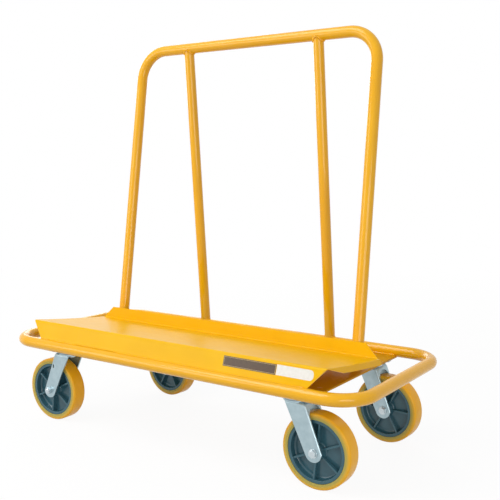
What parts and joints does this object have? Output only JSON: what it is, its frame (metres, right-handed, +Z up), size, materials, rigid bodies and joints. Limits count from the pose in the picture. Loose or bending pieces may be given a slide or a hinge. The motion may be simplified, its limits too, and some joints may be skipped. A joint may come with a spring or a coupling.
{
  "type": "sheet goods cart",
  "caption": "Tube-framed cart with a sloping folded deck, a leaning push hoop with rear braces, a bumper loop and swivel casters, for moving panels on edge.",
  "frame": {"origin": "middle of the bumper loop, on the floor under the wheels", "axes": "+X along the cart, -Y towards the loading side, +Z up"},
  "size_m": [1.3024, 0.5962, 1.2468],
  "materials": {
    "yellow_paint": "gloss powder coat",
    "zinc_plate": "clear zinc plate",
    "bright_zinc": "bright zinc plate",
    "tread": "amber polyurethane",
    "wheel_core": "moulded, slight gloss"
  },
  "bodies": {
    "frame": {"bumper_loop": "yellow_paint", "mount_plate_left": "yellow_paint", "mount_plate_right": "yellow_paint", "brace_left": "yellow_paint", "brace_right": "yellow_paint", "push_hoop": "yellow_paint", "deck_tray": "yellow_paint", "front_left_top_plate": "zinc_plate", "front_left_kingpin": "bright_zinc", "front_left_ball_race": "zinc_plate", "front_left_plate_bolt_1": "bright_zinc", "front_left_plate_bolt_2": "bright_zinc", "front_left_plate_bolt_3": "bright_zinc", "front_left_plate_bolt_4": "bright_zinc", "front_right_top_plate": "zinc_plate", "front_right_kingpin": "bright_zinc", "front_right_ball_race": "zinc_plate", "front_right_plate_bolt_1": "bright_zinc", "front_right_plate_bolt_2": "bright_zinc", "front_right_plate_bolt_3": "bright_zinc", "front_right_plate_bolt_4": "bright_zinc", "rear_left_top_plate": "zinc_plate", "rear_left_kingpin": "bright_zinc", "rear_left_ball_race": "zinc_plate", "rear_left_plate_bolt_1": "bright_zinc", "rear_left_plate_bolt_2": "bright_zinc", "rear_left_plate_bolt_3": "bright_zinc", "rear_left_plate_bolt_4": "bright_zinc", "rear_right_top_plate": "zinc_plate", "rear_right_kingpin": "bright_zinc", "rear_right_ball_race": "zinc_plate", "rear_right_plate_bolt_1": "bright_zinc", "rear_right_plate_bolt_2": "bright_zinc", "rear_right_plate_bolt_3": "bright_zinc", "rear_right_plate_bolt_4": "bright_zinc"},
    "front_left_swivel": {"front_left_fork": "zinc_plate", "front_left_axle_bolt": "bright_zinc", "front_left_axle_nut": "bright_zinc", "front_left_axle_sleeve": "bright_zinc"},
    "front_left_wheel": {"front_left_wheel_core": "wheel_core", "front_left_tread": "tread"},
    "front_right_swivel": {"front_right_fork": "zinc_plate", "front_right_axle_bolt": "bright_zinc", "front_right_axle_nut": "bright_zinc", "front_right_axle_sleeve": "bright_zinc"},
    "front_right_wheel": {"front_right_wheel_core": "wheel_core", "front_right_tread": "tread"},
    "rear_left_swivel": {"rear_left_fork": "zinc_plate", "rear_left_axle_bolt": "bright_zinc", "rear_left_axle_nut": "bright_zinc", "rear_left_axle_sleeve": "bright_zinc"},
    "rear_left_wheel": {"rear_left_wheel_core": "wheel_core", "rear_left_tread": "tread"},
    "rear_right_swivel": {"rear_right_fork": "zinc_plate", "rear_right_axle_bolt": "bright_zinc", "rear_right_axle_nut": "bright_zinc", "rear_right_axle_sleeve": "bright_zinc"},
    "rear_right_wheel": {"rear_right_wheel_core": "wheel_core", "rear_right_tread": "tread"}
  },
  "joints": [
    {"name": "front_left_swivel_turn", "type": "hinge", "parent": "frame", "child": "front_left_swivel", "pos_m": [-0.43, -0.207, 0.23], "axis": [0, 0, 1], "continuous": true},
    {"name": "front_left_wheel_spin", "type": "hinge", "parent": "front_left_swivel", "child": "front_left_wheel", "pos_m": [-0.49698, -0.20875, 0.1016], "axis": [0.0262, -0.9997, 0], "continuous": true},
    {"name": "front_right_swivel_turn", "type": "hinge", "parent": "frame", "child": "front_right_swivel", "pos_m": [0.43, -0.207, 0.23], "axis": [0, 0, 1], "continuous": true},
    {"name": "front_right_wheel_spin", "type": "hinge", "parent": "front_right_swivel", "child": "front_right_wheel", "pos_m": [0.497, -0.20758, 0.1016], "axis": [0.0087, 1, 0], "continuous": true},
    {"name": "rear_left_swivel_turn", "type": "hinge", "parent": "frame", "child": "rear_left_swivel", "pos_m": [-0.43, 0.2195, 0.23], "axis": [0, 0, 1], "continuous": true},
    {"name": "rear_left_wheel_spin", "type": "hinge", "parent": "rear_left_swivel", "child": "rear_left_wheel", "pos_m": [-0.36316, 0.21483, 0.1016], "axis": [0.0698, 0.9976, 0], "continuous": true},
    {"name": "rear_right_swivel_turn", "type": "hinge", "parent": "frame", "child": "rear_right_swivel", "pos_m": [0.43, 0.2195, 0.23], "axis": [0, 0, 1], "continuous": true},
    {"name": "rear_right_wheel_spin", "type": "hinge", "parent": "rear_right_swivel", "child": "rear_right_wheel", "pos_m": [0.49688, 0.21541, 0.1016], "axis": [0.061, 0.9981, 0], "continuous": true}
  ]
}
